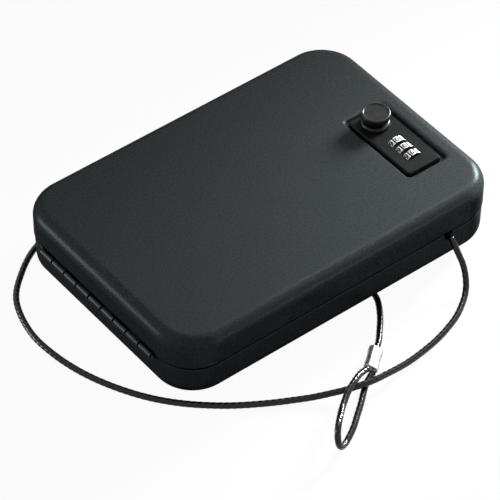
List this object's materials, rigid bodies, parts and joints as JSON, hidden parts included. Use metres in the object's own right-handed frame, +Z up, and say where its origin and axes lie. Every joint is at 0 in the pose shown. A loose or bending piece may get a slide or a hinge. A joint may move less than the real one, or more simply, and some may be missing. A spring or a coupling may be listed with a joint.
{
  "type": "portable car safe",
  "caption": "Shallow sheet-steel car safe with rounded corners, a piano-hinged lid, a dial combination lock with a turning knob, and a tethering cable with a crimped eye.",
  "frame": {"origin": "on the surface that the feet stand on, under the middle of the footprint including the hinge barrel", "axes": "+X from the hinge to the lock end, -Y the long side with the cable notch, +Z up"},
  "size_m": [0.276, 0.2491, 0.0597],
  "materials": {
    "case_paint": "fine-textured matte powder coat, near black",
    "lock_paint": "satin black paint on a zinc casting",
    "knob_black": "semi-gloss black",
    "hinge_black": "thin black coat on steel, satin",
    "steel": "zinc-plated steel",
    "brass": "turned, dull",
    "dial_white": "satin white with black digits",
    "foam": "soft black foam lining with a flocked face",
    "rubber": "matte black rubber",
    "cable_vinyl": "glossy black vinyl coat over twisted steel strands",
    "ferrule_aluminium": "bright pressed aluminium"
  },
  "bodies": {
    "base": {"base_tray": "case_paint", "base_foam": "foam", "hinge_leaf_base": "hinge_black", "hinge_pin": "hinge_black", "latch_keeper": "steel", "cable_anchor_post": "steel", "foot_1": "rubber", "foot_2": "rubber", "foot_3": "rubber", "foot_4": "rubber", "cable_run": "cable_vinyl", "cable_eye_outer": "cable_vinyl", "cable_inner": "cable_vinyl", "cable_eye_inner": "cable_vinyl", "ferrule_outer": "ferrule_aluminium", "ferrule_inner": "ferrule_aluminium"},
    "lid": {"lid_shell": "case_paint", "lid_foam": "foam", "hinge_leaf_lid": "hinge_black", "lock_housing": "lock_paint", "lock_cover": "steel", "lock_mount_screw_1": "steel", "lock_mount_screw_2": "steel", "lock_cover_screw_1": "steel", "lock_cover_screw_2": "steel", "dial_axle": "steel", "detent_spring": "steel", "knob_bezel": "knob_black"},
    "knob": {"knob": "knob_black", "knob_spindle": "steel", "latch_cam": "steel", "cam_washer": "steel", "cam_nut": "steel"},
    "dial_1": {"dial_wheel_1": "dial_white", "dial_clutch_1": "brass"},
    "dial_2": {"dial_wheel_2": "dial_white", "dial_clutch_2": "brass"},
    "dial_3": {"dial_wheel_3": "dial_white", "dial_clutch_3": "brass"},
    "reset": {"reset_slide": "brass"}
  },
  "joints": [
    {"name": "lid_hinge", "type": "hinge", "parent": "base", "child": "lid", "pos_m": [-0.12028, 0, 0.0275], "axis": [0, -1, 0], "range_deg": [0, 170]},
    {"name": "knob_turn", "type": "hinge", "parent": "lid", "child": "knob", "pos_m": [0.09168, 0, 0.05], "axis": [0, 0, 1], "range_deg": [0, 90]},
    {"name": "dial_1_turn", "type": "hinge", "parent": "lid", "child": "dial_1", "pos_m": [0.09168, -0.0204, 0.04445], "axis": [0, 1, 0], "continuous": true},
    {"name": "dial_2_turn", "type": "hinge", "parent": "lid", "child": "dial_2", "pos_m": [0.09168, -0.0276, 0.04445], "axis": [0, 1, 0], "continuous": true},
    {"name": "dial_3_turn", "type": "hinge", "parent": "lid", "child": "dial_3", "pos_m": [0.09168, -0.0348, 0.04445], "axis": [0, 1, 0], "continuous": true},
    {"name": "reset_slide_travel", "type": "slide", "parent": "lid", "child": "reset", "axis": [1, 0, 0], "range_m": [0, 0.004]}
  ]
}
